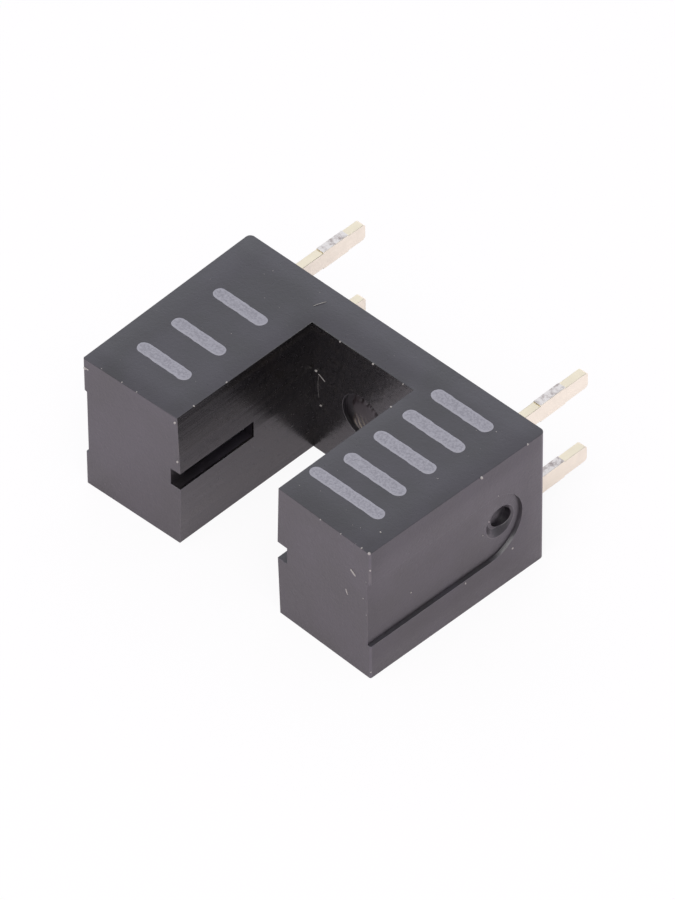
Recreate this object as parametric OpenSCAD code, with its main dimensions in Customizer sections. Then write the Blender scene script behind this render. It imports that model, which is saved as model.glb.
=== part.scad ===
// Slotted optical switch: a moulded U case with an emitter in one arm and a detector in the other.
// Units are millimetres. The switch lies on one broad face: X runs arm to arm, Y from the arm tips
// to the lead ends, Z up through the thickness. The origin is the bottom centre of the whole part.

/* [Housing] */
// Width across both arms at the board end
body_w = 10.1; // [9:0.1:12]
// Length of the case from the arm tips to the board seat
body_l = 6; // [5.7:0.1:8]
// Thickness of the case between its two broad faces
body_t = 4.3; // [4.2:0.1:5.5]
// How far each outer side leans in between board seat and arm tip
side_draft = 0.15; // [0.02:0.01:0.25]
// How far the inner edge of each arm tip is set back
tip_setback = 0.09; // [0.02:0.01:0.15]
// Radius of the upright corners at the board end
corner_r = 0.15; // [0.05:0.05:0.5]
// Radius of the upright outer corners at the arm tips
tip_r = 0.05; // [0.05:0.05:0.3]

/* [Slot] */
// Width of the slot at the two broad faces
slot_w = 3.46; // [2.8:0.02:3.8]
// How far each slot wall stands in at half thickness
slot_pinch = 0.07; // [0.01:0.01:0.12]
// Depth of the slot from the arm tips
slot_d = 4.8; // [4.2:0.1:5.2]
// Diameter of the sunk gate spot on the slot floor
gate_d = 1.4; // [0.8:0.1:2]
// Depth of the sunk gate spot
gate_sink = 0.12; // [0.05:0.01:0.25]
// Diameter of the gate stub left in the spot
gate_stub_d = 0.6; // [0.3:0.1:0.7]
// How far the gate stub ends below the slot floor
gate_stub_gap = 0.03; // [0.01:0.01:0.04]

/* [Slits] */
// Height of the light slit in each slot wall
slit_w = 0.54; // [0.2:0.02:1]
// Distance from the arm tips to the closed end of the slit
slit_end = 2.66; // [2.5:0.02:3.2]
// Depth of the slit groove where it runs out over the arm tip
slit_notch = 0.34; // [0.2:0.02:0.36]

/* [Outer recess] */
// Height of the shallow recess on each outer side
recess_h = 2.14; // [1.6:0.02:2.6]
// Distance from the arm tips to the round end of the recess
recess_end = 5.22; // [5.1:0.02:5.4]
// Depth of the recess
recess_depth = 0.1; // [0.05:0.01:0.2]
// How far the recess wall leans out over its depth
recess_lean = 0.02; // [0.01:0.01:0.1]
// Diameter of the shallow dimple in the recess
dimple_d = 0.96; // [0.6:0.02:1.1]
// Depth of the dimple below the recess floor
dimple_sink = 0.14; // [0.04:0.01:0.2]
// Distance from the arm tips to the dimple
dimple_y = 4.54; // [4.3:0.02:4.6]
// Diameter of the pin mark in the dimple
pin_mark_d = 0.6; // [0.4:0.02:0.7]
// Depth of the pin mark below the recess floor
pin_mark_sink = 0.27; // [0.2:0.01:0.4]
// How far the pin mark sits from the middle of the dimple, towards the leads
pin_mark_shift = 0.12; // [0.02:0.02:0.14]

/* [Walls] */
// Wall between the slot and the cavity, at half thickness
inner_wall = 0.38; // [0.38:0.01:0.5]
// Wall between the cavity and the outer recess
outer_wall = 0.45; // [0.35:0.05:0.6]
// Walls above and below the cavity
broad_wall = 0.4; // [0.3:0.05:0.45]
// Wall between the cavity and the arm tip
tip_wall = 0.55; // [0.4:0.05:0.65]

/* [Packages] */
// Gap between each package and its cavity walls
package_gap = 0.05; // [0.02:0.01:0.08]
// How far each package ends inside the board seat
package_sink = 0.3; // [0.1:0.05:0.6]
// Epoxy cover in front of the lead plane
front_cover = 0.93; // [0.7:0.01:1]
// Distance from the arm tips to the thick foot of each package
foot_y = 3.6; // [3.4:0.1:3.8]
// Radius of the lens
lens_r = 0.95; // [0.6:0.05:0.95]
// Gap between the lens top and the slit wall
lens_gap = 0.08; // [0.05:0.01:0.2]

/* [Leads] */
// Distance from each outer side, at the board end, to the middle of its lead row
lead_inset = 1.24; // [1.12:0.01:1.4]
// Distance between the two leads of one arm
lead_pitch = 2.54; // [2.2:0.02:2.6]
// Width of each lead
lead_w = 0.5; // [0.3:0.05:0.6]
// Thickness of each lead
lead_t = 0.25; // [0.15:0.05:0.35]
// Length of each lead beyond the board seat
lead_out = 2.7; // [2.2:0.1:6]
// Corner cut at the lead tips
lead_cut = 0.07; // [0.02:0.01:0.1]
// Distance from the board seat to the detector's tie bar remains
tie_y = 1; // [0.6:0.1:1.2]
// How much farther out the emitter's tie bar remains sit
tie_shift = 0.2; // [0.05:0.05:0.3]
// Length of the tie bar remains
tie_len = 0.9; // [0.4:0.1:0.9]
// How far the tie bar remains stand out
tie_out = 0.03; // [0.01:0.01:0.08]
// Side of the square die pad
pad_side = 1; // [0.9:0.05:1.1]
// Length of the bond post
post_len = 0.6; // [0.4:0.05:0.8]
// Gap between die pad and bond post
post_gap = 0.3; // [0.2:0.05:0.4]
// Distance from the beam to the near edge of the bond post
post_rise = 0.45; // [0.3:0.05:0.6]

/* [Chips] */
// Side of the emitter chip
emitter_w = 0.35; // [0.25:0.05:0.6]
// Thickness of the emitter chip
emitter_t = 0.2; // [0.1:0.05:0.3]
// Side of the detector chip
detector_w = 0.7; // [0.4:0.05:0.8]
// Thickness of the detector chip
detector_t = 0.25; // [0.1:0.05:0.3]
// Thickness of the die adhesive
glue_t = 0.02; // [0.01:0.01:0.04]
// How far the adhesive shows around a chip
glue_rim = 0.04; // [0.02:0.01:0.06]
// Diameter of the bond wires
wire_d = 0.04; // [0.03:0.01:0.06]
// Radius of the bond wire arch
wire_r = 0.75; // [0.7:0.05:1]
// Distance from the edge of the bond post to the wire foot
wire_inset = 0.25; // [0.1:0.05:0.3]

/* [Hidden] */
$fn = 64;

over = 1;
lap = 0.1;
mid_z = body_t / 2;
tip_y = -(body_l + lead_out) / 2;
tip_half = body_w / 2 - side_draft;
draft_angle = atan(side_draft / body_l);
slot_mid_half = slot_w / 2 - slot_pinch;
tip_centre_y = tip_setback * tip_half / (tip_half - slot_w / 2);

cavity_in = slot_mid_half + inner_wall;
cavity_out = tip_half - recess_depth - outer_wall;
cavity_t = body_t - 2 * broad_wall;

lead_in = body_w / 2 - lead_inset - lead_t / 2;
package_front = lead_in - front_cover;
package_foot = cavity_in + package_gap;
package_out = cavity_out - package_gap;
package_t = cavity_t - 2 * package_gap;
package_end = body_l - package_sink;
lens_y = (tip_wall + slit_end) / 2;
lens_top = cavity_in + lens_gap;

lead_end = body_l + lead_out;
lead_low = mid_z - lead_pitch / 2 - lead_w / 2;
lead_high = lead_low + lead_w;
pad_y = lens_y - pad_side / 2;
post_y = pad_y + pad_side + post_gap;
pad_reach = mid_z + pad_side / 2;
post_reach = mid_z - post_rise;

wire_reach = post_y + post_len / 2 - lens_y;
wire_rise = post_rise + wire_inset;
wire_run = norm([wire_reach, wire_rise]);
wire_turn = atan2(wire_rise, wire_reach);

PLASTIC = [0.1, 0.1, 0.11];
CLEAR_EPOXY = [0.72, 0.74, 0.85];
DARK_EPOXY = [0.13, 0.1, 0.14];
PLATING = [0.9, 0.85, 0.7];
GOLD = [0.9, 0.72, 0.3];
SILVER_GLUE = [0.7, 0.7, 0.7];
SILICON = [0.3, 0.32, 0.4];
ARSENIDE = [0.45, 0.3, 0.28];

function unit(v) = v / norm(v);
function corner_angle(a, b, c) = acos(unit(a - b) * unit(c - b));
function corner_reach(a, b, c, r) = r / tan(corner_angle(a, b, c) / 2);
function corner_hub(a, b, c, r) = b + unit(unit(a - b) + unit(c - b)) * r / sin(corner_angle(a, b, c) / 2);

// Fills an outline and rounds each corner that has a radius. Those corners are convex.
module rounded_outline(points, radii) {
    n = len(points);
    polygon([
        for (i = [0 : n - 1])
            let (a = points[(i + n - 1) % n], b = points[i], c = points[(i + 1) % n])
                for (side = radii[i] > 0 ? [a, c] : [a])
                    b + unit(side - b) * corner_reach(a, b, c, radii[i])
    ]);
    for (i = [0 : n - 1])
        if (radii[i] > 0)
            translate(corner_hub(points[(i + n - 1) % n], points[i], points[(i + 1) % n], radii[i]))
                circle(r = radii[i]);
}

// Puts the arm tips at Y 0.
module from_tips() {
    translate([0, tip_y, 0])
        children();
}

// Repeats a right-hand shape on the left.
module both_arms() {
    children();
    mirror([1, 0, 0])
        children();
}

// Extrudes an outline drawn in X and Z along Y, from y to y + length.
module along_y(y, length) {
    translate([0, y + length, 0])
        rotate([90, 0, 0])
            linear_extrude(length)
                children();
}

// Extrudes an outline drawn in Y and Z along X, from x to x + length.
module along_x(x, length) {
    translate([x, 0, 0])
        rotate([90, 0, 90])
            linear_extrude(length)
                children();
}

// Stands a shape made along Z on the right-hand outer side, with Z out of that side.
module on_side() {
    translate([tip_half, 0, mid_z])
        rotate([0, 0, -draft_angle])
            rotate([0, 90, 0])
                children();
}

module case_block() {
    linear_extrude(body_t)
        rounded_outline(
            [[-tip_half, 0], [0, tip_centre_y], [tip_half, 0], [body_w / 2, body_l], [-body_w / 2, body_l]],
            [tip_r, 0, tip_r, corner_r, corner_r]
        );
}

module slot_cut() {
    wide = slot_w / 2;
    along_y(-over, slot_d + over)
        polygon([
            [-wide, -over], [wide, -over], [wide, 0], [slot_mid_half, mid_z],
            [wide, body_t], [wide, body_t + over], [-wide, body_t + over], [-wide, body_t],
            [-slot_mid_half, mid_z], [-wide, 0]
        ]);
}

module gate_cut() {
    translate([0, slot_d, mid_z])
        rotate([-90, 0, 0])
            difference() {
                translate([0, 0, -gate_sink])
                    cylinder(d = gate_d, h = 2 * gate_sink);
                translate([0, 0, gate_stub_gap])
                    cylinder(d = gate_stub_d, h = 2 * gate_sink);
            }
}

module slit_cut() {
    translate([0, -over, mid_z - slit_w / 2])
        cube([slot_mid_half + slit_notch, slit_end + over, slit_w]);
    translate([0, tip_wall, mid_z - slit_w / 2])
        cube([cavity_in + lap, slit_end - tip_wall, slit_w]);
}

module recess_cut() {
    half = recess_h / 2;
    hub = recess_end - half;
    outer = half + recess_lean;
    on_side() {
        translate([0, hub, -recess_depth])
            cylinder(r1 = half - recess_lean, r2 = half + recess_lean, h = 2 * recess_depth);
        translate([0, hub, 0])
            rotate([90, 0, 0])
                linear_extrude(hub + over)
                    polygon([
                        [-half + recess_lean, -recess_depth], [half - recess_lean, -recess_depth],
                        [outer, recess_depth], [-outer, recess_depth]
                    ]);
    }
}

module dimple_cut() {
    slope = (dimple_d - pin_mark_d) / dimple_sink;
    on_side() {
        translate([0, dimple_y, -recess_depth - dimple_sink])
            cylinder(d1 = pin_mark_d, d2 = dimple_d + slope * lap, h = dimple_sink + lap);
        translate([0, dimple_y + pin_mark_shift, -recess_depth - pin_mark_sink])
            cylinder(d = pin_mark_d, h = pin_mark_sink + lap);
    }
}

module cavity_cut() {
    translate([cavity_in, tip_wall, mid_z - cavity_t / 2])
        cube([cavity_out - cavity_in, body_l, cavity_t]);
}

module case() {
    difference() {
        case_block();
        slot_cut();
        gate_cut();
        both_arms() {
            slit_cut();
            recess_cut();
            dimple_cut();
            cavity_cut();
        }
    }
}

// A flat lead low in the arm, with a tab that reaches up from it. The tie bar remains start at tie.
module lead_plate(tab_y, tab_len, reach, tie) {
    start = body_l + tie;
    stop = start + tie_len;
    along_x(lead_in, lead_t)
        polygon([
            [lead_end, lead_low + lead_cut], [lead_end, lead_high - lead_cut],
            [lead_end - lead_cut, lead_high], [stop, lead_high],
            [stop, lead_high + tie_out], [start, lead_high + tie_out], [start, lead_high],
            [tab_y + tab_len, lead_high], [tab_y + tab_len, reach], [tab_y, reach], [tab_y, lead_low],
            [start, lead_low], [start, lead_low - tie_out], [stop, lead_low - tie_out], [stop, lead_low],
            [lead_end - lead_cut, lead_low]
        ]);
}

module pad_lead(tie = tie_y) {
    lead_plate(pad_y, pad_side, pad_reach, tie);
}

module post_lead(tie = tie_y) {
    translate([0, 0, body_t])
        mirror([0, 0, 1])
            lead_plate(post_y, post_len, post_reach, tie);
}

// A square plate on the slot side of the die pad, starting at a height above the pad.
module pad_plate(side, height, thick) {
    translate([lead_in - height - thick, lens_y - side / 2, mid_z - side / 2])
        cube([thick, side, side]);
}

module die_bond(side) {
    pad_plate(side + 2 * glue_rim, 0, glue_t);
}

module chip(side, thick) {
    pad_plate(side, glue_t, thick);
}

// An arch from the top of the chip to the bond post, with a round foot at each end.
module wire_shape(top) {
    chord = norm([wire_run, top]);
    drop = sqrt(wire_r * wire_r - chord * chord / 4);
    hub = [wire_run / 2 - top * drop / chord, top / 2 - wire_run * drop / chord];
    from = atan2(-hub[1], wire_run - hub[0]);
    to = atan2(top - hub[1], -hub[0]);
    dip = 5;
    translate([lead_in, lens_y, mid_z])
        rotate([wire_turn, 0, 0])
            multmatrix([[0, -1, 0, 0], [1, 0, 0, 0], [0, 0, 1, 0], [0, 0, 0, 1]]) {
                translate([hub[0], hub[1], 0])
                    rotate([0, 0, from - dip])
                        rotate_extrude(angle = to - from + 2 * dip)
                            translate([wire_r, 0])
                                circle(d = wire_d, $fn = 8);
                translate([0, top - wire_d, 0])
                    rotate([-90, 0, 0])
                        cylinder(d = 2.5 * wire_d, h = 1.7 * wire_d, $fn = 12);
                translate([wire_run, -wire_d, 0])
                    rotate([-90, 0, 0])
                        cylinder(d = 3 * wire_d, h = 1.5 * wire_d, $fn = 12);
            }
}

module bond_wire(side, thick) {
    difference() {
        wire_shape(glue_t + thick);
        chip(side, thick);
        post_lead();
    }
}

module lens_cap() {
    intersection() {
        translate([lens_top + lens_r, lens_y, mid_z])
            sphere(r = lens_r);
        cube([package_front + lap, body_l, body_t]);
    }
}

module package_body() {
    translate([package_front, tip_wall, mid_z - package_t / 2])
        cube([package_out - package_front, package_end - tip_wall, package_t]);
    translate([package_foot, foot_y, mid_z - package_t / 2])
        cube([package_out - package_foot, package_end - foot_y, package_t]);
    lens_cap();
}

module package(side, thick) {
    difference() {
        package_body();
        pad_lead();
        post_lead();
        die_bond(side);
        chip(side, thick);
        bond_wire(side, thick);
    }
}

module left() {
    from_tips()
        mirror([1, 0, 0])
            children();
}

module right() {
    from_tips()
        children();
}

module housing() {
    color(PLASTIC)
        from_tips()
            case();
}

module emitter_package() {
    color(CLEAR_EPOXY)
        left()
            package(emitter_w, emitter_t);
}

module detector_package() {
    color(DARK_EPOXY)
        right()
            package(detector_w, detector_t);
}

module emitter_anode_lead() {
    color(PLATING)
        left()
            pad_lead(tie_y + tie_shift);
}

module emitter_cathode_lead() {
    color(PLATING)
        left()
            post_lead(tie_y + tie_shift);
}

module detector_collector_lead() {
    color(PLATING)
        right()
            pad_lead();
}

module detector_emitter_lead() {
    color(PLATING)
        right()
            post_lead();
}

module emitter_chip() {
    color(ARSENIDE)
        left()
            chip(emitter_w, emitter_t);
}

module detector_chip() {
    color(SILICON)
        right()
            chip(detector_w, detector_t);
}

module emitter_die_bond() {
    color(SILVER_GLUE)
        left()
            die_bond(emitter_w);
}

module detector_die_bond() {
    color(SILVER_GLUE)
        right()
            die_bond(detector_w);
}

module emitter_bond_wire() {
    color(GOLD)
        left()
            bond_wire(emitter_w, emitter_t);
}

module detector_bond_wire() {
    color(GOLD)
        right()
            bond_wire(detector_w, detector_t);
}

housing();
emitter_package();
detector_package();
emitter_anode_lead();
emitter_cathode_lead();
detector_collector_lead();
detector_emitter_lead();
emitter_chip();
detector_chip();
emitter_die_bond();
detector_die_bond();
emitter_bond_wire();
detector_bond_wire();
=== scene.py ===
"""Looks of a slotted optical switch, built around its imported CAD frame.

The case and the leads are rounded copies of their CAD nodes. Print, gate scar, dust and scuffs are
surfaces worked out with numpy. Frame axes: X arm to arm, Y from the arm tips to the lead ends, Z up.
Shapes are drawn in millimetres and scaled to metres as they become meshes.
"""

import math

import bmesh
import bpy
import numpy as np
from bpy.props import FloatProperty, FloatVectorProperty, IntProperty, PointerProperty
from mathutils import Matrix, Vector


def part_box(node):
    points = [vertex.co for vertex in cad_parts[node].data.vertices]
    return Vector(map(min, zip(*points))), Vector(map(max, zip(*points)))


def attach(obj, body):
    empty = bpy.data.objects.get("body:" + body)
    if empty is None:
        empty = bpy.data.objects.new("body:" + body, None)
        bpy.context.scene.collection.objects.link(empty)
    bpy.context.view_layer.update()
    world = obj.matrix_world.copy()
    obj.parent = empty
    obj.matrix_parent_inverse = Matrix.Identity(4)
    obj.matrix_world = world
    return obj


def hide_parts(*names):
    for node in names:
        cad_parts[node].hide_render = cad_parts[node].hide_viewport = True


bl_info = {
    "name": "Slotted optical switch",
    "version": (1, 0, 0),
    "blender": (4, 5, 0),
    "location": "3D View > Sidebar > Optical switch",
    "description": "Dresses the packed optical switch with moulded, plated and printed finishes",
    "category": "Object",
}

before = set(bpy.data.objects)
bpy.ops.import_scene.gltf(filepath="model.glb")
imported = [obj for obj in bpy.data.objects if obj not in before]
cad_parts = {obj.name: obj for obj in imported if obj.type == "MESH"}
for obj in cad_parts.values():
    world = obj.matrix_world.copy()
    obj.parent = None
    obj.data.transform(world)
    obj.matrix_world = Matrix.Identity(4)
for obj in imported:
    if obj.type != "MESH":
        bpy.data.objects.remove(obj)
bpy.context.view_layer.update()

MM = 0.001
BODY = "root"
LEADS = ("emitter_anode_lead", "emitter_cathode_lead", "detector_collector_lead", "detector_emitter_lead")

# The case's corners in metres, and places on it in millimetres
CASE_LOW, CASE_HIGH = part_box("housing")
TOP = CASE_HIGH.z / MM
TIP = CASE_LOW.y / MM
MIDDLE = TOP / 2
SLOT_DEPTH = 4.8
SLOT_HALF = 1.73
GATE_SINK = 0.12
GATE_RADIUS = 0.64
# How far past a face a point still counts as on it, in millimetres
SKIN = 0.02

# Rounding of the CAD copies, in millimetres: welding distance, bend of flat neighbours, least angle of
# a sharp edge, steps of its round, and the area above which a face is no facet of a curve
WELD = 0.0005
FLAT_BEND = math.radians(0.4)
SHARPEST = math.radians(28)
ROUND_STEPS = 3
FACET_AREA = 0.05

CASE_IOR = 1.84
# Towards the tent's bright back wall
TENT_BACK = (-0.7, 0.7, 0.17)
# Point that the camera aims at: from the arm tips, then right and up in the picture, in millimetres
AIM_Y, AIM_RIGHT, AIM_UP = 2.985, 0.639, 0.135


def linear(text):
    """Turns an sRGB hex colour into linear RGB with full alpha."""
    part = np.array([int(text[i : i + 2], 16) / 255 for i in (1, 3, 5)])
    value = np.where(part <= 0.04045, part / 12.92, ((part + 0.055) / 1.055) ** 2.4)
    return (*value.tolist(), 1.0)


def colour_setting(name, description, text):
    """A colour property from an sRGB hex colour."""
    return FloatVectorProperty(
        name=name,
        description=description,
        default=linear(text),
        size=4,
        subtype="COLOR",
    )


def size_setting(name, description, millimetres):
    """A length property from a size in millimetres."""
    return FloatProperty(
        name=name,
        description=description,
        default=millimetres * MM,
        subtype="DISTANCE",
        unit="LENGTH",
        precision=6,
    )


def angle_setting(name, description, degrees):
    """An angle property from degrees."""
    return FloatProperty(
        name=name,
        description=description,
        default=math.radians(degrees),
        subtype="ANGLE",
    )


class CaseSettings(bpy.types.PropertyGroup):
    """Sizes and colours of the moulded case."""

    edge_radius: size_setting("Edge radius", "Radius on every outer edge of the moulding", 0.03)
    roll: size_setting("Roll", "Width of the margin in which the upper face and the sides fall away", 0.9)
    lean: FloatProperty(name="Lean", description="Slope of that margin", default=0.09)
    grain: size_setting("Grain", "Pit spacing of the mould's texture", 0.09)
    drag: size_setting("Drag lines", "Spacing of the lines that the mould's core drags along the slot", 0.2)
    colour: colour_setting("Colour", "Body colour of the plastic", "#1e1b1d")
    cloud_colour: colour_setting("Cloud colour", "Colour where the melt flowed last", "#28242a")
    drag_colour: colour_setting("Drag colour", "Colour of the dragged lines in the slot", "#1f1c1a")
    # Painted shade: the slot's walls take this darker colour where the arms shade them
    painted_slot_shade_colour: colour_setting("Core colour", "Colour of the smooth walls of the slot", "#121012")
    # Painted highlight: the rolled edges are lighter than the faces
    edge_highlight_colour: colour_setting("Edge colour", "Colour of the rolled edges", "#46424a")
    rubbed_colour: colour_setting("Rubbed colour", "Colour of the edges where they are rubbed", "#5c5856")


class LeadSettings(bpy.types.PropertyGroup):
    """Sizes and colours of the leads."""

    edge_radius: size_setting("Edge radius", "Radius on the stamped edges", 0.012)
    tie_out: size_setting("Tie rise", "How far the tie bar remains stand out of the lead", 0.03)
    rolled_colour: colour_setting("Rolled face", "Plating colour on the rolled faces", "#f6f2dc")
    sheared_colour: colour_setting("Sheared edge", "Plating colour on the sheared edges", "#fff5d8")
    tie_colour: colour_setting("Tie scar", "Bare metal where the tie bar was cut off", "#f3efe8")
    tie_dark_colour: colour_setting("Tie patches", "Dark patches in the tie scar", "#ada19b")


class PackageSettings(bpy.types.PropertyGroup):
    """Colours of the packages and of what they hold."""

    clear_colour: colour_setting("Emitter epoxy", "Tint of the clear emitter package", "#e6e7ef")
    dark_colour: colour_setting("Detector epoxy", "Colour of the dark detector package", "#17141a")
    emitter_colour: colour_setting("Emitter chip", "Colour of the emitter chip", "#5a4440")
    detector_colour: colour_setting("Detector chip", "Colour of the detector chip", "#3b4252")
    glue_colour: colour_setting("Die adhesive", "Colour of the silver-filled adhesive", "#b9b9ba")
    gold_colour: colour_setting("Bond wire", "Colour of the gold wire", "#f0d083")


class InkSettings(bpy.types.PropertyGroup):
    """Sizes and colours of the printed strips."""

    thickness: size_setting("Thickness", "Thickness of the dried ink", 0.01)
    wobble: FloatProperty(
        name="Wobble",
        description="Unevenness of the rim, as a share of its radius",
        default=0.05,
    )
    colour: colour_setting("Ink", "Colour of full ink", "#9b9aa1")
    thin_colour: colour_setting("Thin ink", "Colour where the ink is thin", "#79777e")


class WearSettings(bpy.types.PropertyGroup):
    """Dust, scuffs and the gate scar."""

    dust_count: IntProperty(name="Dust count", description="Number of fine dust specks", default=60, min=0)
    dust_size: size_setting("Dust size", "Radius of the largest fine speck", 0.013)
    seed: IntProperty(name="Seed", description="Start of the random places", default=12)
    # Also the colour of the specks that are painted glints
    dust_and_glint_colour: colour_setting("Dust", "Colour of dust and chipped plastic", "#b5b0ab")
    scar_colour: colour_setting("Scar", "Colour of the torn plastic at the gate", "#2a2124")
    tear_colour: colour_setting("Tear", "Colour of the stretched crests at the gate", "#9a907a")


class StageSettings(bpy.types.PropertyGroup):
    """Floor, light and camera."""

    floor_colour: colour_setting("Floor", "Colour of the floor", "#fef3fb")
    tent_colour: colour_setting("Tent", "Colour of the light from the tent's back wall", "#f2f4ff")
    ceiling_colour: colour_setting("Ceiling", "Colour of the tent's thicker roof", "#babac3")
    horizon_colour: colour_setting("Horizon", "Colour of the dim room on the tent's open side", "#9f9da1")
    azimuth: angle_setting("Azimuth", "Camera bearing", 44.59)
    elevation: angle_setting("Elevation", "Camera height angle", 44.72)
    roll: angle_setting("Roll", "Camera roll", -0.52)
    distance: size_setting("Distance", "From the camera to the point that it aims at", 258)
    lens: FloatProperty(name="Lens", description="Focal length", default=420.0, unit="CAMERA")
    fill: FloatProperty(name="Fill", description="Strength of the tent's light", default=1.17)
    key: FloatProperty(name="Key", description="Radiance of the lamp in front", default=2.65)
    glow_seen: FloatProperty(
        name="Glow",
        description="Share of the floor's glow that the camera sees",
        default=0.9,
    )
    glow_turned: FloatProperty(
        name="Glow in reflections",
        description="Share of the floor's glow in reflections",
        default=0.1,
    )


class SwitchSettings(bpy.types.PropertyGroup):
    """All settings of the optical switch."""

    case: PointerProperty(type=CaseSettings)
    lead: PointerProperty(type=LeadSettings)
    package: PointerProperty(type=PackageSettings)
    ink: PointerProperty(type=InkSettings)
    wear: PointerProperty(type=WearSettings)
    stage: PointerProperty(type=StageSettings)


def add(tree, kind, inputs=None, **settings):
    """Adds a node, sets its properties, and fills or links its inputs by name or number."""
    node = tree.nodes.new(kind)
    for key, value in settings.items():
        setattr(node, key, value)
    for key, value in (inputs or {}).items():
        if isinstance(value, bpy.types.Node):
            value = value.outputs[0]
        if isinstance(value, bpy.types.NodeSocket):
            tree.links.new(value, node.inputs[key])
        else:
            node.inputs[key].default_value = value
    return node


def new_material(name):
    """A material with an empty tree, its tree, and the Object coordinates in it."""
    material = bpy.data.materials.new(name)
    material.use_nodes = True
    tree = material.node_tree
    tree.nodes.clear()
    return material, tree, add(tree, "ShaderNodeTexCoord").outputs["Object"]


def finish_material(tree, **inputs):
    """Ends a material in one principled shader."""
    names = {key.replace("_", " "): value for key, value in inputs.items()}
    shader = add(tree, "ShaderNodeBsdfPrincipled", names)
    add(tree, "ShaderNodeOutputMaterial", {"Surface": shader})


def shaded(colour, share):
    """A share of a colour, with full alpha."""
    return (*(share * value for value in colour[:3]), 1.0)


def link_piece(name, mesh):
    """An object at the origin that rides on the part's only body."""
    mesh.name = name
    piece = bpy.data.objects.new(name, mesh)
    bpy.context.scene.collection.objects.link(piece)
    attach(piece, BODY)
    return piece


def rounded_copy(node, name, radius):
    """A copy of a CAD node with its edges rolled over.

    The loose triangles are merged and flat neighbours joined, in millimetres because Bevel's own
    tolerances are absolute. Outer edges sharper than SHARPEST get a round of the radius, in the second
    material, and inner corners as sharp stay as they are. Faces over FACET_AREA are shaded flat.
    """
    mesh = bpy.data.meshes.new(name)
    bm = bmesh.new()
    bm.from_mesh(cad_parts[node].data)
    bmesh.ops.scale(bm, vec=(1 / MM, 1 / MM, 1 / MM), verts=bm.verts)
    bmesh.ops.remove_doubles(bm, verts=bm.verts, dist=WELD)
    bmesh.ops.dissolve_limit(bm, angle_limit=FLAT_BEND, verts=bm.verts, edges=bm.edges)
    weight = bm.edges.layers.float.new("bevel_weight_edge")
    for edge in bm.edges:
        if edge.calc_face_angle(0) > SHARPEST:
            edge.smooth = edge.is_convex
            edge[weight] = float(edge.is_convex)
    bm.to_mesh(mesh)
    bm.free()
    mesh.materials.append(None)
    mesh.materials.append(None)
    draft = bpy.data.objects.new(name + "_draft", mesh)
    bpy.context.scene.collection.objects.link(draft)
    bevel = draft.modifiers.new("rounding", "BEVEL")
    bevel.width = radius / MM
    bevel.segments = ROUND_STEPS
    bevel.limit_method = "WEIGHT"
    bevel.material = 1
    done = bpy.data.meshes.new_from_object(draft.evaluated_get(bpy.context.evaluated_depsgraph_get()))
    bpy.data.objects.remove(draft)
    bpy.data.meshes.remove(mesh)
    areas = np.empty(len(done.polygons))
    done.polygons.foreach_get("area", areas)
    done.polygons.foreach_set("use_smooth", areas < FACET_AREA)
    done.transform(Matrix.Scale(MM, 4))
    piece = link_piece(name, done)
    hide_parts(node)
    return piece


def face_vectors(mesh, key):
    """Every face's normal or centre, in rows of three."""
    values = np.empty(len(mesh.polygons) * 3)
    mesh.polygons.foreach_get(key, values)
    return values.reshape(-1, 3)


def face_slots(mesh):
    """Every face's material number."""
    values = np.empty(len(mesh.polygons), np.int32)
    mesh.polygons.foreach_get("material_index", values)
    return values


def tube_faces(rows, columns, count=1):
    """Quads of as many tubes as count, each of rows by columns points, whose last column joins its first."""
    i, j = np.meshgrid(np.arange(rows - 1), np.arange(columns), indexing="ij")
    k = (j + 1) % columns
    quads = np.stack((i * columns + j, i * columns + k, (i + 1) * columns + k, (i + 1) * columns + j), -1)
    return (quads.reshape(1, -1, 4) + np.arange(count)[:, None, None] * rows * columns).reshape(-1, 4)


def add_piece(name, points, faces, material, layers=None):
    """A piece from points in millimetres, with poles and seams welded and faces turned outwards."""
    mesh = bpy.data.meshes.new(name)
    mesh.from_pydata(points.reshape(-1, 3).tolist(), [], faces.tolist())
    for key, values in (layers or {}).items():
        mesh.attributes.new(key, "FLOAT", "POINT").data.foreach_set("value", values.ravel())
    bm = bmesh.new()
    bm.from_mesh(mesh)
    bmesh.ops.remove_doubles(bm, verts=bm.verts, dist=1e-5)
    bmesh.ops.recalc_face_normals(bm, faces=bm.faces)
    bmesh.ops.scale(bm, vec=(MM, MM, MM), verts=bm.verts)
    bm.to_mesh(mesh)
    bm.free()
    mesh.shade_smooth()
    mesh.materials.append(material)
    return link_piece(name, mesh)


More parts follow.
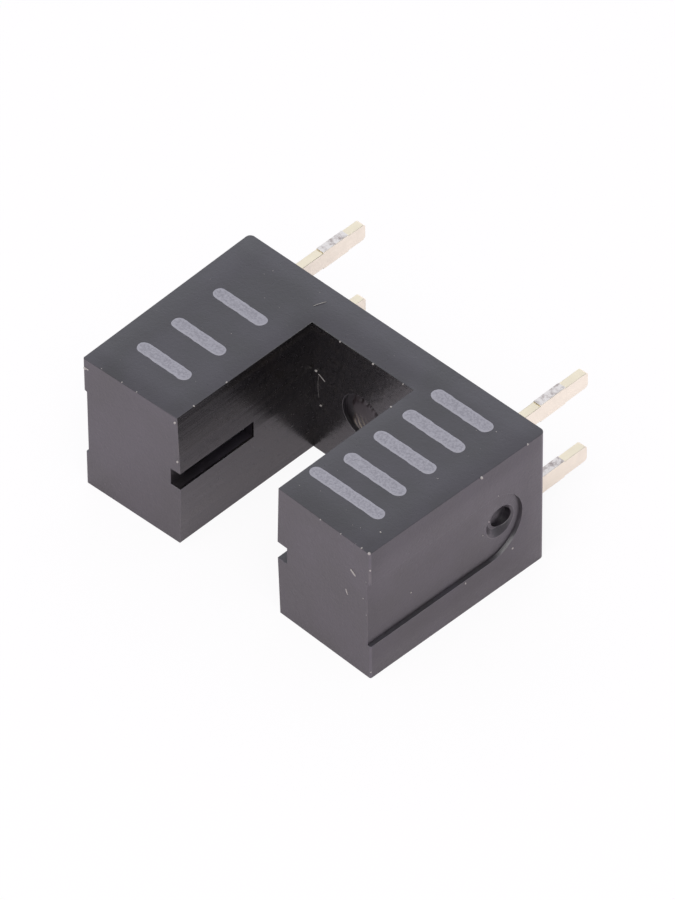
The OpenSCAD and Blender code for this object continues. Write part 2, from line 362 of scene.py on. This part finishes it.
def moulded_case(settings):
    """Black polyphenylene sulfide, injection moulded."""
    # The spark-eroded mould leaves fine pits and an even low sheen, the melt faint clouds. The core
    # that makes the slot is smoother, and drags faint brown lines along its walls as it is pulled. The
    # slot's walls are painted a deeper black as painted shade between the arms. The upper face and the
    # sides sank a little towards their edges.
    material, tree, place = new_material("black_polyphenylene_sulfide_moulded")
    pits = add(
        tree,
        "ShaderNodeTexNoise",
        {"Vector": place, "Scale": 1 / settings.grain, "Detail": 3.0, "Distortion": 0.8},
    )
    clouds = add(tree, "ShaderNodeTexNoise", {"Vector": place, "Scale": 1 / (1.3 * MM), "Detail": 4.0})
    along = add(tree, "ShaderNodeMapping", {"Vector": place, "Scale": (1.0, 0.05, 1.0)})
    lines = add(tree, "ShaderNodeTexNoise", {"Vector": along, "Scale": 1 / settings.drag, "Detail": 3.0})
    # One between the slot's walls, up to its end, and zero elsewhere
    axes = add(tree, "ShaderNodeSeparateXYZ", {0: place}).outputs
    off = add(tree, "ShaderNodeMath", {0: axes["X"]}, operation="ABSOLUTE")
    edge = (SLOT_HALF + SKIN) * MM
    across = add(tree, "ShaderNodeMapRange", {"Value": off, "From Min": edge, "From Max": SLOT_HALF * MM})
    end = (TIP + SLOT_DEPTH + SKIN) * MM
    ahead = add(
        tree,
        "ShaderNodeMapRange",
        {"Value": axes["Y"], "From Min": end + SKIN * MM, "From Max": end},
    )
    slot = add(tree, "ShaderNodeMath", {0: across, 1: ahead}, operation="MULTIPLY")
    shown = add(tree, "ShaderNodeMapRange", {"Value": lines, "From Min": 0.46, "From Max": 0.68})
    dragged = add(tree, "ShaderNodeMath", {0: slot, 1: shown}, operation="MULTIPLY")
    cloudy = add(tree, "ShaderNodeMapRange", {"Value": clouds, "From Min": 0.4, "From Max": 0.62})
    body = add(
        tree,
        "ShaderNodeMix",
        {0: cloudy, 6: settings.colour, 7: settings.cloud_colour},
        data_type="RGBA",
    )
    # Painted shade: the walls between the arms are darkened
    walls = add(
        tree,
        "ShaderNodeMix",
        {0: slot, 6: body.outputs[2], 7: settings.painted_slot_shade_colour},
        data_type="RGBA",
    )
    base = add(
        tree,
        "ShaderNodeMix",
        {0: dragged, 6: walls.outputs[2], 7: settings.drag_colour},
        data_type="RGBA",
    )
    pitted = add(tree, "ShaderNodeMapRange", {"Value": pits, "To Min": 0.22, "To Max": 0.42})
    sheen = add(tree, "ShaderNodeMath", {0: slot, 1: -0.08, 2: pitted}, operation="MULTIPLY_ADD")
    relief = add(tree, "ShaderNodeMix", {0: slot, 2: pits, 3: lines}, data_type="FLOAT")
    # The normal of the sunk margins, turned by no more than the lean
    flat = add(tree, "ShaderNodeNewGeometry").outputs["Normal"]
    rolled = add(tree, "ShaderNodeBevel", {"Radius": settings.roll}, samples=8)
    lean = Vector((1, 1, 1)) * settings.lean
    tilt = add(tree, "ShaderNodeVectorMath", {0: rolled, 1: flat}, operation="SUBTRACT")
    least = add(tree, "ShaderNodeVectorMath", {0: tilt, 1: -lean}, operation="MAXIMUM")
    leant = add(tree, "ShaderNodeVectorMath", {0: least, 1: lean}, operation="MINIMUM")
    below = (TOP - SKIN) * MM
    high = add(tree, "ShaderNodeMath", {0: axes["Z"], 1: below}, operation="GREATER_THAN")
    facing = add(tree, "ShaderNodeSeparateXYZ", {0: flat}).outputs["X"]
    beside = add(tree, "ShaderNodeMath", {0: facing, 1: facing}, operation="MULTIPLY")
    sides = add(tree, "ShaderNodeMath", {0: beside, 1: 0.8}, operation="GREATER_THAN")
    either = add(tree, "ShaderNodeMath", {0: high, 1: sides}, operation="MAXIMUM")
    rim = add(tree, "ShaderNodeMath", {0: either, 1: slot}, operation="SUBTRACT", use_clamp=True)
    turned = add(tree, "ShaderNodeVectorMath", {0: leant, 1: rim, 2: flat}, operation="MULTIPLY_ADD")
    bump = add(
        tree,
        "ShaderNodeBump",
        {"Height": relief, "Strength": 0.5, "Distance": 0.01 * MM, "Normal": turned},
    )
    finish_material(tree, Base_Color=base.outputs[2], Roughness=sheen, IOR=CASE_IOR, Normal=bump)
    return material


def rubbed_and_highlit_edge(settings):
    """The same plastic on its rolled edges, painted paler as a highlight."""
    # The edges are painted paler than the faces as a highlight, and handling rubs them paler and duller
    # still in patches.
    material, tree, place = new_material("black_polyphenylene_sulfide_rubbed_and_highlit")
    rub = add(tree, "ShaderNodeTexNoise", {"Vector": place, "Scale": 1 / (0.35 * MM), "Detail": 4.0})
    share = add(tree, "ShaderNodeMapRange", {"Value": rub, "From Min": 0.4, "From Max": 0.7})
    base = add(
        tree,
        "ShaderNodeMix",
        {0: share, 6: settings.edge_highlight_colour, 7: settings.rubbed_colour},
        data_type="RGBA",
    )
    sheen = add(tree, "ShaderNodeMapRange", {"Value": rub, "To Min": 0.32, "To Max": 0.5})
    finish_material(tree, Base_Color=base.outputs[2], Roughness=sheen, IOR=CASE_IOR)
    return material


def plated_strip(settings):
    """Copper alloy strip, stamped and then plated."""
    # Rolled faces are pale, sheared edges yellower, with fine lines along the strip and faint stains.
    material, tree, place = new_material("plated_copper_stamped")
    along = add(tree, "ShaderNodeMapping", {"Vector": place, "Scale": (1.0, 0.06, 1.0)})
    lines = add(tree, "ShaderNodeTexNoise", {"Vector": along, "Scale": 1 / (0.05 * MM), "Detail": 3.0})
    stain = add(tree, "ShaderNodeTexNoise", {"Vector": place, "Scale": 1 / (0.3 * MM), "Detail": 3.0})
    normal = add(tree, "ShaderNodeNewGeometry").outputs["Normal"]
    across = add(tree, "ShaderNodeSeparateXYZ", {0: normal}).outputs["X"]
    side = add(tree, "ShaderNodeMath", {0: across}, operation="ABSOLUTE")
    clean = add(
        tree,
        "ShaderNodeMix",
        {0: side, 6: settings.sheared_colour, 7: settings.rolled_colour},
        data_type="RGBA",
    )
    tarnish = add(
        tree,
        "ShaderNodeMapRange",
        {"Value": stain, "From Min": 0.35, "From Max": 0.7, "To Min": 1.0, "To Max": 0.95},
    )
    base = add(
        tree,
        "ShaderNodeMix",
        {0: 1.0, 6: clean.outputs[2], 7: tarnish},
        data_type="RGBA",
        blend_type="MULTIPLY",
    )
    sheen = add(tree, "ShaderNodeMapRange", {"Value": lines, "To Min": 0.22, "To Max": 0.42})
    bump = add(tree, "ShaderNodeBump", {"Height": lines, "Strength": 0.15, "Distance": 0.003 * MM})
    finish_material(tree, Base_Color=base.outputs[2], Metallic=1.0, Roughness=sheen, Normal=bump)
    return material


def cut_tie_bar(settings):
    """Bare strip where a tie bar was sheared off after plating."""
    # Pale torn metal with grey patches where the shear dragged it.
    material, tree, place = new_material("bare_copper_sheared")
    torn = add(
        tree,
        "ShaderNodeTexNoise",
        {"Vector": place, "Scale": 1 / (0.16 * MM), "Detail": 4.0, "Roughness": 0.7},
    )
    share = add(tree, "ShaderNodeMapRange", {"Value": torn, "From Min": 0.46, "From Max": 0.7})
    base = add(
        tree,
        "ShaderNodeMix",
        {0: share, 6: settings.tie_colour, 7: settings.tie_dark_colour},
        data_type="RGBA",
    )
    bump = add(tree, "ShaderNodeBump", {"Height": torn, "Strength": 0.5, "Distance": 0.01 * MM})
    finish_material(tree, Base_Color=base.outputs[2], Metallic=1.0, Roughness=0.5, Normal=bump)
    return material


def cast_epoxy(name, colour, transmission):
    """Epoxy cast round the chip."""
    # A smooth glossy resin with faint swirls, clear for the emitter and dark for the detector.
    material, tree, place = new_material(name)
    swirl = add(
        tree,
        "ShaderNodeTexNoise",
        {"Vector": place, "Scale": 1 / (0.9 * MM), "Detail": 2.0, "Distortion": 1.0},
    )
    base = add(tree, "ShaderNodeMix", {0: swirl, 6: colour, 7: shaded(colour, 0.8)}, data_type="RGBA")
    sheen = add(tree, "ShaderNodeMapRange", {"Value": swirl, "To Min": 0.12, "To Max": 0.26})
    finish_material(
        tree,
        Base_Color=base.outputs[2],
        Roughness=sheen,
        IOR=1.55,
        Transmission_Weight=transmission,
    )
    return material


def fine_finish(name, colour, grain, metallic, roughness):
    """A small part's material: one colour with grain of a given size in metres."""
    # The grain breaks the colour and the sheen up, as sawing, drawing or filling does.
    material, tree, place = new_material(name)
    noise = add(tree, "ShaderNodeTexNoise", {"Vector": place, "Scale": 1 / grain, "Detail": 3.0})
    base = add(tree, "ShaderNodeMix", {0: noise, 6: colour, 7: shaded(colour, 0.7)}, data_type="RGBA")
    sheen = add(
        tree,
        "ShaderNodeMapRange",
        {"Value": noise, "To Min": roughness * 0.8, "To Max": roughness * 1.2},
    )
    finish_material(tree, Base_Color=base.outputs[2], Metallic=metallic, Roughness=sheen)
    return material


def printed_ink(settings):
    """Pad-printed ink."""
    # Pale matt film that piles up at its rim and lets the plastic show through in fine mottles.
    material, tree, place = new_material("pale_ink_printed")
    mottle = add(
        tree,
        "ShaderNodeTexNoise",
        {"Vector": place, "Scale": 1 / (0.055 * MM), "Detail": 3.0, "Roughness": 0.65},
    )
    rim = add(tree, "ShaderNodeAttribute", attribute_name="rim").outputs["Fac"]
    thin = add(
        tree,
        "ShaderNodeMapRange",
        {"Value": mottle, "From Min": 0.36, "From Max": 0.62, "To Min": 1.0, "To Max": 0.0},
    )
    inside = add(
        tree,
        "ShaderNodeMapRange",
        {"Value": rim, "From Min": 0.62, "From Max": 0.9, "To Min": 0.75, "To Max": 0.1},
    )
    share = add(tree, "ShaderNodeMath", {0: thin, 1: inside}, operation="MULTIPLY")
    base = add(
        tree,
        "ShaderNodeMix",
        {0: share, 6: settings.colour, 7: settings.thin_colour},
        data_type="RGBA",
    )
    bump = add(tree, "ShaderNodeBump", {"Height": mottle, "Strength": 0.3, "Distance": 0.006 * MM})
    finish_material(tree, Base_Color=base.outputs[2], Roughness=0.65, IOR=1.5, Normal=bump)
    return material


def torn_gate(settings):
    """Plastic torn where the sprue was broken off."""
    # Dull dark fracture with paler stretched crests.
    material, tree, place = new_material("black_polyphenylene_sulfide_torn")
    crest = add(tree, "ShaderNodeAttribute", attribute_name="crest").outputs["Fac"]
    base = add(
        tree,
        "ShaderNodeMix",
        {0: crest, 6: settings.scar_colour, 7: settings.tear_colour},
        data_type="RGBA",
    )
    rough = add(tree, "ShaderNodeTexNoise", {"Vector": place, "Scale": 1 / (0.06 * MM), "Detail": 4.0})
    bump = add(tree, "ShaderNodeBump", {"Height": rough, "Strength": 0.5, "Distance": 0.01 * MM})
    finish_material(tree, Base_Color=base.outputs[2], Roughness=0.45, IOR=CASE_IOR, Normal=bump)
    return material


def strip_marks(strips, thickness, wobble):
    """Rounded strips of ink on the upper face, in millimetres.

    A strip is its first and last X, its distance from the arm tips and its width. It has half length a
    and radius r, and its outline goes round once with t. The point at (s, t) lies at share s of the way
    from the strip's middle line to that outline, raised by thickness (1 - s^8). The outline swells by
    wobble times a sum of three sines of t. The last two rows are the sunk back.
    """
    count, columns = len(strips), 120
    start, stop, y, width = (np.array(part)[:, None] for part in zip(*strips))
    r = width / 2
    a = (stop - start) / 2 - r
    t = np.arange(columns)[None] / columns
    run = t * (4 * a + 2 * math.pi * r)
    turn = np.clip((run - 2 * a) / r, 0, math.pi) + np.clip((run - 4 * a) / r - math.pi, 0, math.pi)
    turn = turn - math.pi / 2
    go = np.clip(run, 0, 2 * a) - np.clip(run - 2 * a - math.pi * r, 0, 2 * a)
    phase = np.arange(count)[:, None] * 1.7
    swell = sum(np.sin(2 * math.pi * k * t + phase * k) for k in (5, 9, 14)) / 3
    reach = r * (1 + wobble * swell)
    share = np.array([0.0, 0.4, 0.7, 0.85, 0.95, 1.0, 1.0, 0.0])[None, :, None]
    sunk = np.array([0, 0, 0, 0, 0, 0, 1, 1])[None, :, None]
    middle = (start + stop)[:, :, None] / 2 - a[:, :, None] + go[:, None]
    px = middle + share * (reach * np.cos(turn))[:, None]
    py = TIP + y[:, :, None] + share * (reach * np.sin(turn))[:, None]
    pz = TOP + thickness * np.where(sunk, -0.4, 1 - share**8) + 0 * px
    points = np.stack((px, py, pz), -1)
    return points, tube_faces(share.size, columns, count), np.broadcast_to(share, px.shape)


def gate_scar(radius):
    """Torn plastic in the sunk gate spot on the slot floor, in millimetres.

    On a polar grid of share s and angle a, the height over the spot's floor is 0.1 (1 - s^8), cut
    down by a smooth step that leaves the spot open towards -X. In the lower half, ridges of height
    0.06 run along the tear, 40 degrees below +X, and fade as a bell from their middle. Pits of depth
    0.09 make the upper rim ragged. The back is flat.
    """
    rows, columns = 26, 96
    s = np.concatenate((np.linspace(0, 1, rows), [1.0, 0.0]))[:, None]
    a = np.linspace(0, 2 * math.pi, columns, endpoint=False)[None]
    x = radius * s * np.cos(a) * (1 + 0.03 * np.sin(5 * a + 1))
    z = radius * s * np.sin(a) * (1 + 0.03 * np.sin(7 * a))
    tear = math.radians(-40)
    across = -x * math.sin(tear) + z * math.cos(tear)
    along = x * math.cos(tear) + z * math.sin(tear)
    ridge = np.abs(np.sin(math.pi * (across + 0.05 * np.sin(9 * along)) / 0.17)) ** 0.7
    torn = np.exp(-(((x + 0.1) / 0.34) ** 2) - ((z + 0.38) / 0.26) ** 2) * (1 - s**4)
    rise = np.clip((x / radius + 0.7 + 0.06 * np.sin(7 * z / radius)) / 0.22, 0, 1)
    rise = rise**2 * (3 - 2 * rise)
    pits = np.exp(-(((s - 0.88) / 0.09) ** 2)) * np.clip(np.sin(14 * a + 2 * np.sin(5 * a)) + 0.3, 0, 1)
    pits = pits * np.clip(1.8 - np.abs(a - 1.35) / 0.6, 0, 1)
    height = 0.1 * rise * (1 - s**8) + 0.06 * (ridge - 0.6) * rise * torn - 0.09 * pits
    height = np.where(np.arange(rows + 2)[:, None] > rows, -0.004, np.maximum(height, 0))
    floor = TIP + SLOT_DEPTH + GATE_SINK
    points = np.stack((x, floor - height, MIDDLE + z), -1)
    crest = np.clip((ridge - 0.75) * 4, 0, 1) * torn
    return points, tube_faces(rows + 2, columns), crest


def grains(places, radii, stretch):
    """Ellipsoid grains, in millimetres: centre + radius (sin u cos v, sin u sin v, cos u), stretched."""
    rows, columns = 6, 8
    u = np.linspace(0, math.pi, rows)[:, None]
    v = np.linspace(0, 2 * math.pi, columns, endpoint=False)[None]
    ball = np.stack((np.sin(u) * np.cos(v), np.sin(u) * np.sin(v), np.cos(u) + 0 * v), -1)
    points = places[:, None, None] + ball[None] * (radii[:, None] * stretch)[:, None, None]
    return points, tube_faces(rows, columns, len(places))


def threads(starts, stops, sag, radius):
    """Thin threads, in millimetres: a round profile carried along an arc from start to stop.

    At share t the middle is start + t (stop - start) + 4 t (1 - t) sag, and the radius is
    radius (4 t (1 - t))^0.3, so that both ends close.
    """
    rows, columns = 15, 6
    t = np.linspace(0, 1, rows)[None, :, None, None]
    v = np.linspace(0, 2 * math.pi, columns, endpoint=False)[None, None, :, None]
    step = (stops - starts)[:, None, None]
    side = np.cross(stops - starts, (0.3, 0.5, 0.8))
    side = side / np.linalg.norm(side, axis=1)[:, None]
    other = np.cross(stops - starts, side)
    other = other / np.linalg.norm(other, axis=1)[:, None]
    ring = np.cos(v) * side[:, None, None] + np.sin(v) * other[:, None, None]
    arch = 4 * t * (1 - t)
    middle = starts[:, None, None] + t * step + arch * sag[:, None, None]
    points = middle + radius[:, None, None, None] * arch**0.3 * ring
    return points, tube_faces(rows, columns, len(starts))


class OPTO_OT_case(bpy.types.Operator):
    """Makes the moulded case with rolled edges"""

    bl_idname = "opto.case"
    bl_label = "Case"

    def execute(self, context):
        settings = context.scene.optical_switch.case
        piece = rounded_copy("housing", "moulded_case", settings.edge_radius)
        mesh = piece.data
        mesh.materials[0] = moulded_case(settings)
        mesh.materials[1] = rubbed_and_highlit_edge(settings)
        middles = face_vectors(mesh, "center")
        x, y, z = np.abs(face_vectors(mesh, "normal").T)
        chosen = face_slots(mesh)
        # The upright corners at both ends get the paler edge finish too, painted highlight with rubbed wear,
        # and the edges of the upper face do not.
        end = np.abs(middles[:, 1] - (CASE_LOW.y + CASE_HIGH.y) / 2)
        outermost = end > (CASE_HIGH.y - CASE_LOW.y) / 2 - 0.2 * MM
        upright_corner = (x * y > 0.08) & (z < 0.02)
        chosen[upright_corner & outermost] = 1
        uppermost = middles[:, 2] > CASE_HIGH.z - 0.05 * MM
        chosen[uppermost & (z > 0.05)] = 0
        mesh.polygons.foreach_set("material_index", chosen)
        return {"FINISHED"}


class OPTO_OT_leads(bpy.types.Operator):
    """Makes the four stamped leads"""

    bl_idname = "opto.leads"
    bl_label = "Leads"

    def execute(self, context):
        settings = context.scene.optical_switch.lead
        plating = plated_strip(settings)
        scar = cut_tie_bar(settings)
        for node in LEADS:
            piece = rounded_copy(node, "stamped_" + node, settings.edge_radius)
            mesh = piece.data
            mesh.materials[0] = plating
            mesh.materials[1] = plating
            mesh.materials.append(scar)
            middles = face_vectors(mesh, "center")
            level = np.abs(face_vectors(mesh, "normal")[:, 2]) > 0.9
            chosen = face_slots(mesh)
            # The tie bar's remains are the level faces that stand out farthest from the bare lead.
            outside = middles[:, 1] > CASE_HIGH.y + 0.2 * MM
            reach = np.abs(middles[:, 2] - np.median(middles[outside, 2]))
            farthest = reach > reach[outside].max() - settings.tie_out / 3
            chosen[outside & level & farthest] = 2
            mesh.polygons.foreach_set("material_index", chosen)
        return {"FINISHED"}


class OPTO_OT_packages(bpy.types.Operator):
    """Gives the packages, chips, adhesive and wires their finishes"""

    bl_idname = "opto.packages"
    bl_label = "Packages"

    def execute(self, context):
        settings = context.scene.optical_switch.package
        saw = 0.03 * MM
        glue = fine_finish("silver_epoxy_dispensed", settings.glue_colour, 0.02 * MM, 0.6, 0.45)
        gold = fine_finish("gold_wire_drawn", settings.gold_colour, 0.01 * MM, 1.0, 0.25)
        finishes = {
            "emitter_package": cast_epoxy("clear_epoxy_cast", settings.clear_colour, 0.85),
            "detector_package": cast_epoxy("dark_epoxy_cast", settings.dark_colour, 0.0),
            "emitter_chip": fine_finish("gallium_arsenide_sawn", settings.emitter_colour, saw, 0.4, 0.25),
            "detector_chip": fine_finish("silicon_sawn", settings.detector_colour, saw, 0.4, 0.2),
            "emitter_die_bond": glue,
            "detector_die_bond": glue,
            "emitter_bond_wire": gold,
            "detector_bond_wire": gold,
        }
        for node, material in finishes.items():
            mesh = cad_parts[node].data
            mesh.materials.clear()
            mesh.materials.append(material)
        return {"FINISHED"}


class OPTO_OT_print(bpy.types.Operator):
    """Prints plain strips on both arms"""

    bl_idname = "opto.print"
    bl_label = "Print"

    def execute(self, context):
        settings = context.scene.optical_switch.ink
        strips = [(2.1, 4.07, y, 0.4) for y in (5.1, 4.12, 3.1, 2.05)]
        strips += [(1.83, 4.26, 1.13, 0.36)]
        strips += [(-4.25, -2.5, y, 0.38) for y in (3.95, 2.5, 1.3)]
        points, faces, rim = strip_marks(strips, settings.thickness / MM, settings.wobble)
        add_piece("printed_strips", points, faces, printed_ink(settings), {"rim": rim})
        return {"FINISHED"}


class OPTO_OT_gate(bpy.types.Operator):
    """Tears the gate spot on the slot floor"""

    bl_idname = "opto.gate"
    bl_label = "Gate scar"

    def execute(self, context):
        settings = context.scene.optical_switch.wear
        points, faces, crest = gate_scar(GATE_RADIUS)
        piece = add_piece("gate_scar", points, faces, torn_gate(settings), {"crest": crest})
        return {"FINISHED"}


class OPTO_OT_dust(bpy.types.Operator):
    """Scatters dust, nicks and threads"""

    bl_idname = "opto.dust"
    bl_label = "Dust"
    # Scatters dust, nicks, threads and pale specks that are painted glints

    def execute(self, context):
        settings = context.scene.optical_switch.wear
        # Tiny pale grains and chips along edges; some specks, on edges and at the dimple's rim in the side,
        # are painted glints
        dust = fine_finish("dust_chips_and_painted_glints", settings.dust_and_glint_colour, 0.02 * MM, 0.0, 0.8)
        # X of the right side near the arm tips
        side = 4.92
        # X, distance from the arm tips, Z and radius of each nick
        nicks = np.array(
            [
                (4.86, 0.02, 4.29, 0.041), (4.6, 0.03, 4.29, 0.024), (4.4, 0.03, 4.29, 0.02),
                (3.9, 0.03, 4.29, 0.019), (3.2, 0.05, 4.28, 0.022), (4.9, 0.01, 3.74, 0.022),
                (4.76, 0.01, 3.26, 0.016), (4.66, 0.01, 2.62, 0.019), (4.76, 0.01, 2.12, 0.016),
                (4.89, 0.02, 0.22, 0.022), (5.02, 3.77, 4.28, 0.032), (5.03, 5.38, 4.28, 0.024),
                (4.56, 0.72, 4.3, 0.027), (1.4, 4.78, 4.29, 0.027), (-0.75, 4.78, 4.29, 0.024),
                (0.38, 4.78, 4.29, 0.027), (side - 0.08, 1.48, 1.87, 0.024),
                (side + 0.06, 3.25, 0.99, 0.027), (side + 0.1, 4.88, 1.05, 0.027),
                (side + 0.04, 2.97, 1.0, 0.022), (side + 0.09, 4.37, 3.22, 0.023),
                (-4.3, 0.05, 4.29, 0.024), (-3.6, 0.06, 4.29, 0.022), (-3.1, 0.07, 4.29, 0.022),
                (-1.75, 1.83, 4.29, 0.03), (-1.75, 0.69, 4.29, 0.027), (-1.43, 4.77, 1.64, 0.03),
                (-1.58, 4.77, 2.74, 0.032), (1.74, 4.0, 4.29, 0.027), (-1.74, 0.02, 4.2, 0.028),
                (-1.68, 0.02, 2.9, 0.026), (-4.84, 0.0, 3.98, 0.036), (side - 0.04, 4.17, 2.4, 0.03),
                (side - 0.02, 3.94, 2.09, 0.022),
            ]
        )
        rng = np.random.default_rng(settings.seed)
        count = settings.dust_count
        x = rng.uniform(-4.8, 4.8, count)
        y = rng.uniform(0.1, 5.9, count)
        radius = settings.dust_size / MM * (0.4 + 0.6 * rng.random(count) ** 2)
        on_top = (np.abs(x) > 1.8) | (y > SLOT_DEPTH + 0.1)
        spread = np.stack((x, y, np.full(count, TOP), radius), 1)[on_top]
        specks = np.concatenate((nicks, spread))
        places = specks[:, :3] + (0, TIP, 0)
        stretch = rng.uniform(0.6, 1.3, (len(specks), 3))
        points, faces = grains(places, specks[:, 3], stretch)
        add_piece("dust_chips_and_glint_specks", points, faces, dust)
        # X, distance from the arm tips and Z of both ends of each scuff, and its radius
        scuffs = np.array(
            [
                (-1.53, 4.79, 2.66, -1.29, 4.79, 2.53, 0.01),
                (-1.51, 4.785, 2.6, -1.5, 4.785, 1.82, 0.003),
                (-2.1, 5.21, 4.303, -1.96, 5.57, 4.303, 0.007),
                (4.23, 0.017, 3.33, 4.41, 0.012, 3.195, 0.028),
                (4.06, 0.022, 2.53, 4.13, 0.02, 2.36, 0.018),
                (-4.89, 0.0, 3.97, -4.7, 0.004, 4.01, 0.026),
            ]
        )
        starts, stops = scuffs[:, :3] + (0, TIP, 0), scuffs[:, 3:6] + (0, TIP, 0)
        sag = 0.04 * np.roll(stops - starts, 1, axis=1)
        points, faces = threads(starts, stops, sag, scuffs[:, 6])
        add_piece("dust_threads", points, faces, dust)
        return {"FINISHED"}


class OPTO_OT_stage(bpy.types.Operator):
    """Makes the floor, the light and the camera"""

    bl_idname = "opto.stage"
    bl_label = "Stage"

    def execute(self, context):
        settings = context.scene.optical_switch.stage
        make_floor(settings)
        make_light(settings)
        make_camera(settings)
        context.scene.view_settings.view_transform = "Standard"
        return {"FINISHED"}


def make_floor(settings):
    """A flat pale sheet under the part, wide enough for every view.

    It glows for the rays that show it, so that it is white behind the part. Reflections keep more of
    the part's shade than the camera does.
    """
    half = 0.6
    corners = [(-half, -half, 0), (half, -half, 0), (half, half, 0), (-half, half, 0)]
    mesh = bpy.data.meshes.new("floor")
    mesh.from_pydata(corners, [], [(0, 1, 2, 3)])
    floor = bpy.data.objects.new("floor", mesh)
    bpy.context.scene.collection.objects.link(floor)
    material, tree, _ = new_material("white_paper_floor")
    path = add(tree, "ShaderNodeLightPath").outputs
    turned = add(
        tree,
        "ShaderNodeMath",
        {0: path["Is Glossy Ray"], 1: path["Is Transmission Ray"]},
        operation="MAXIMUM",
    )
    dim = add(tree, "ShaderNodeMath", {0: turned, 1: settings.glow_turned}, operation="MULTIPLY")
    share = add(
        tree,
        "ShaderNodeMath",
        {0: path["Is Camera Ray"], 1: settings.glow_seen, 2: dim},
        operation="MULTIPLY_ADD",
    )
    paper = add(tree, "ShaderNodeBsdfDiffuse", {"Color": settings.floor_colour})
    glow = add(tree, "ShaderNodeEmission", {"Color": (1, 1, 1, 1), "Strength": 1.0})
    both = add(tree, "ShaderNodeMixShader", {0: share, 1: paper, 2: glow})
    add(tree, "ShaderNodeOutputMaterial", {"Surface": both})
    mesh.materials.append(material)


def seen_from(azimuth, elevation):
    """Unit vector towards a place at a bearing from -Y and a height angle."""
    level = math.cos(elevation)
    return Vector((math.sin(azimuth) * level, -math.cos(azimuth) * level, math.sin(elevation)))


def softbox(name, azimuth, elevation, distance, side, radiance):
    """A square lamp that faces the part; its power is radiance times pi times its area."""
    lamp = bpy.data.lights.new(name, "AREA")
    lamp.shape = "SQUARE"
    lamp.size = side
    lamp.energy = radiance * math.pi * side * side
    back = seen_from(math.radians(azimuth), math.radians(elevation))
    box = bpy.data.objects.new(name, lamp)
    box.location = back * distance
    box.rotation_euler = back.to_track_quat("Z", "Y").to_euler()
    bpy.context.scene.collection.objects.link(box)


def make_light(settings):
    """A white tent with a bright back wall, a thicker roof and a dim open side, where a soft lamp stands."""
    world = bpy.data.worlds.new("studio")
    bpy.context.scene.world = world
    world.use_nodes = True
    tree = world.node_tree
    tree.nodes.clear()
    way = add(tree, "ShaderNodeTexCoord").outputs["Generated"]
    turn = add(tree, "ShaderNodeVectorMath", {0: way, 1: TENT_BACK}, operation="DOT_PRODUCT")
    back = turn.outputs["Value"]
    roof = add(tree, "ShaderNodeMapRange", {"Value": back, "From Min": -0.35, "From Max": 0.15})
    wall = add(tree, "ShaderNodeMapRange", {"Value": back, "From Min": 0.6, "From Max": 0.95})
    upper = add(
        tree,
        "ShaderNodeMix",
        {0: roof, 6: settings.horizon_colour, 7: settings.ceiling_colour},
        data_type="RGBA",
    )
    colour = add(
        tree,
        "ShaderNodeMix",
        {0: wall, 6: upper.outputs[2], 7: settings.tent_colour},
        data_type="RGBA",
    )
    light = add(tree, "ShaderNodeBackground", {"Color": colour.outputs[2], "Strength": settings.fill})
    add(tree, "ShaderNodeOutputWorld", {"Surface": light})
    softbox("front_softbox", azimuth=33, elevation=60, distance=0.3, side=0.28, radiance=settings.key)


def make_camera(settings):
    """A long lens at the photograph's bearing, height and roll."""
    a, r = settings.azimuth, settings.roll
    back = seen_from(a, settings.elevation)
    right = Vector((math.cos(a), math.sin(a), 0))
    up = back.cross(right)
    aim = (Vector((0, TIP + AIM_Y, MIDDLE)) + right * AIM_RIGHT + up * AIM_UP) * MM
    turned = right * math.cos(r) + up * math.sin(r)
    top = up * math.cos(r) - right * math.sin(r)
    data = bpy.data.cameras.new("camera")
    data.lens = settings.lens
    data.sensor_width = 36.0
    data.clip_start = 0.01
    data.clip_end = 5.0
    camera = bpy.data.objects.new("camera", data)
    place = Matrix((turned, top, back)).transposed().to_4x4()
    place.translation = aim + back * settings.distance
    camera.matrix_world = place
    bpy.context.scene.collection.objects.link(camera)
    bpy.context.scene.camera = camera


STEPS = (
    OPTO_OT_case,
    OPTO_OT_leads,
    OPTO_OT_packages,
    OPTO_OT_print,
    OPTO_OT_gate,
    OPTO_OT_dust,
    OPTO_OT_stage,
)


class OPTO_PT_panel(bpy.types.Panel):
    """Lists the steps and the settings of the optical switch"""

    bl_label = "Optical switch"
    bl_space_type = "VIEW_3D"
    bl_region_type = "UI"
    bl_category = "Optical switch"

    def draw(self, context):
        for step in STEPS:
            self.layout.operator(step.bl_idname)
        for group in context.scene.optical_switch.bl_rna.properties:
            if group.type == "POINTER" and group.identifier != "rna_type":
                box = self.layout.box()
                box.label(text=group.identifier)
                values = getattr(context.scene.optical_switch, group.identifier)
                for value in type(values).__annotations__:
                    box.prop(values, value)


GROUPS = (
    CaseSettings,
    LeadSettings,
    PackageSettings,
    InkSettings,
    WearSettings,
    StageSettings,
    SwitchSettings,
)
CLASSES = (*GROUPS, *STEPS, OPTO_PT_panel)


def register():
    """Adds the classes and the scene's settings."""
    for kind in CLASSES:
        bpy.utils.register_class(kind)
    bpy.types.Scene.optical_switch = PointerProperty(type=SwitchSettings)


def unregister():
    """Takes the settings and the classes away again."""
    del bpy.types.Scene.optical_switch
    for kind in reversed(CLASSES):
        bpy.utils.unregister_class(kind)


def main():
    """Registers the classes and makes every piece."""
    register()
    bpy.ops.opto.case()
    bpy.ops.opto.leads()
    bpy.ops.opto.packages()
    bpy.ops.opto.print()
    bpy.ops.opto.gate()
    bpy.ops.opto.dust()
    bpy.ops.opto.stage()


if __name__ == "__main__":
    main()
